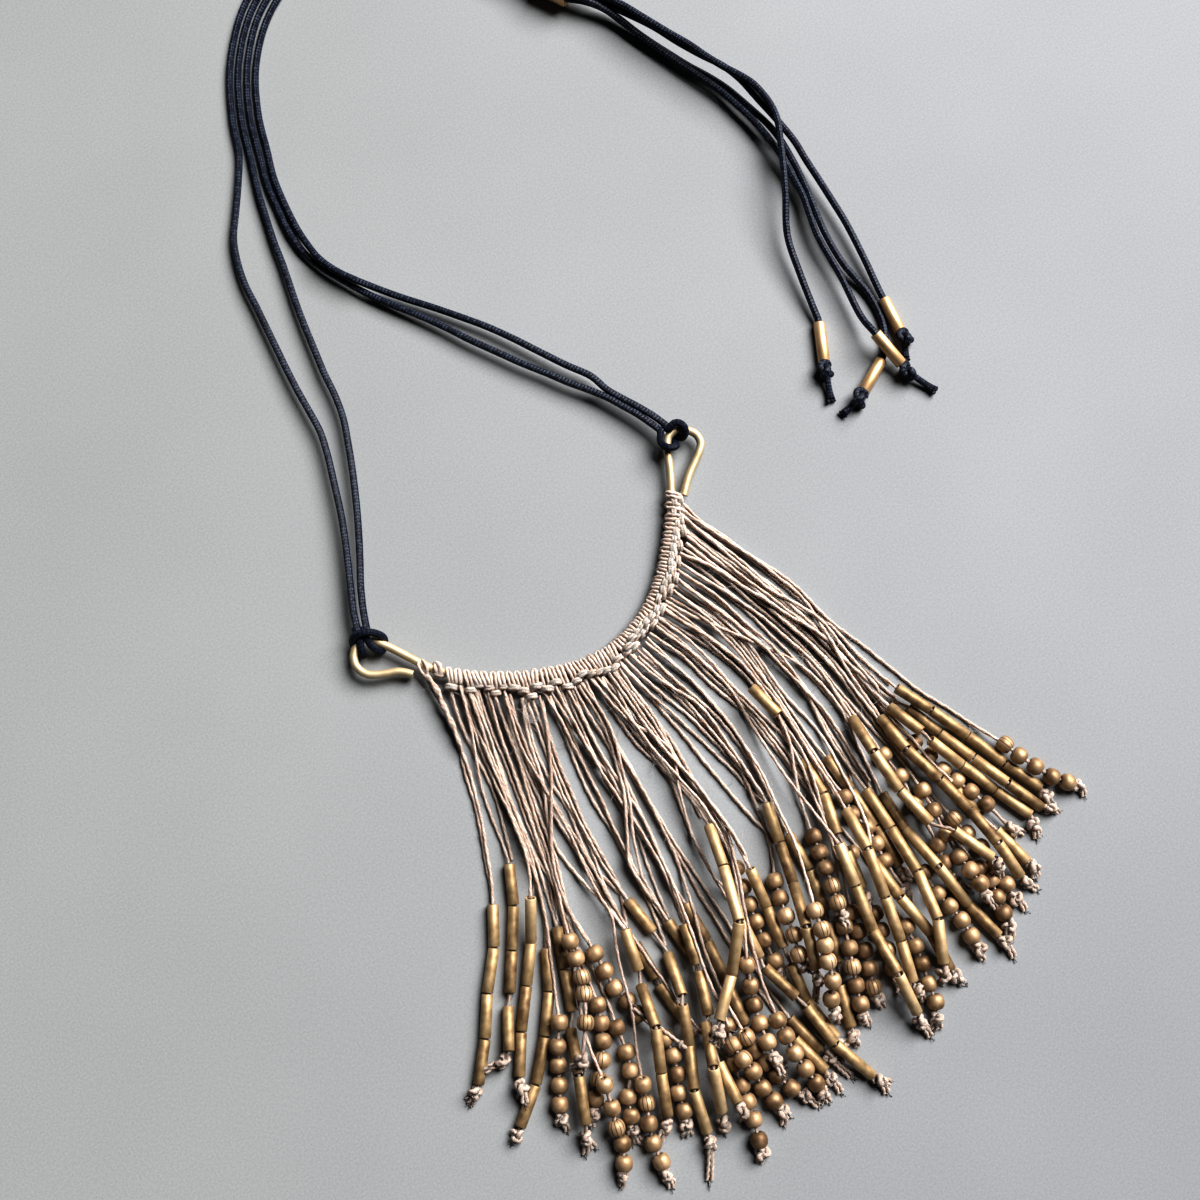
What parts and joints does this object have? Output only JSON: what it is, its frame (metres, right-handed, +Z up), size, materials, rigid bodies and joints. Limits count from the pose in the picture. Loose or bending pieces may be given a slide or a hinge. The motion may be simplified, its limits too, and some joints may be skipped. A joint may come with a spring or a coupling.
{
  "type": "bar necklace with a beaded thread fringe",
  "caption": "Necklace lying flat: a bent brass wire bar with hooked eyes, a knotted thread fringe strung with brass tube and round beads, and a doubled cord drawn through a slider.",
  "frame": {"origin": "the middle of the bar, on the flat underside of the knot band that rests on the table", "axes": "+X along the bar towards its right eye, +Y from the bar towards the cords, +Z up from the table"},
  "size_m": [0.1567, 0.2572, 0.0107],
  "materials": {
    "bright_brass": "satin",
    "aged_brass": "satin",
    "taupe_thread": "matte",
    "navy_cord": "satin"
  },
  "bodies": {
    "root": {"bar_wire": "bright_brass", "cord_slider": "bright_brass", "end_tube_a": "bright_brass", "end_tube_b": "bright_brass", "end_tube_c": "bright_brass", "end_tube_d": "bright_brass", "fringe_head": "taupe_thread", "left_hitch": "navy_cord", "left_inner_cord": "navy_cord", "left_outer_cord": "navy_cord", "loose_tube": "aged_brass", "right_hitch": "navy_cord", "right_inner_cord": "navy_cord", "right_outer_cord": "navy_cord", "round_string_01": "aged_brass", "round_string_04": "aged_brass", "round_string_05": "aged_brass", "round_string_06": "aged_brass", "round_string_07": "aged_brass", "round_string_08": "aged_brass", "round_string_12": "aged_brass", "round_string_13": "aged_brass", "round_string_16": "aged_brass", "round_string_17": "aged_brass", "round_string_18": "aged_brass", "round_string_20": "aged_brass", "round_string_21": "aged_brass", "round_string_23": "aged_brass", "round_string_24": "aged_brass", "round_string_25": "aged_brass", "round_string_26": "aged_brass", "round_string_28": "aged_brass", "tube_string_01": "aged_brass", "tube_string_02": "aged_brass", "tube_string_03": "aged_brass", "tube_string_05": "aged_brass", "tube_string_09": "aged_brass", "tube_string_10": "aged_brass", "tube_string_11": "aged_brass", "tube_string_12": "aged_brass", "tube_string_13": "aged_brass", "tube_string_15": "aged_brass", "tube_string_16": "aged_brass", "tube_string_17": "aged_brass", "tube_string_18": "aged_brass", "tube_string_19": "aged_brass", "tube_string_20": "aged_brass", "tube_string_21": "aged_brass", "tube_string_22": "aged_brass", "tube_string_23": "aged_brass", "tube_string_24": "aged_brass", "tube_string_25": "aged_brass", "tube_string_26": "aged_brass", "tube_string_27": "aged_brass", "tube_string_28": "aged_brass", "tube_string_29": "aged_brass", "tube_string_31": "aged_brass", "tube_string_32": "aged_brass", "tube_string_33": "aged_brass", "tube_string_34": "aged_brass"}
  },
  "joints": []
}
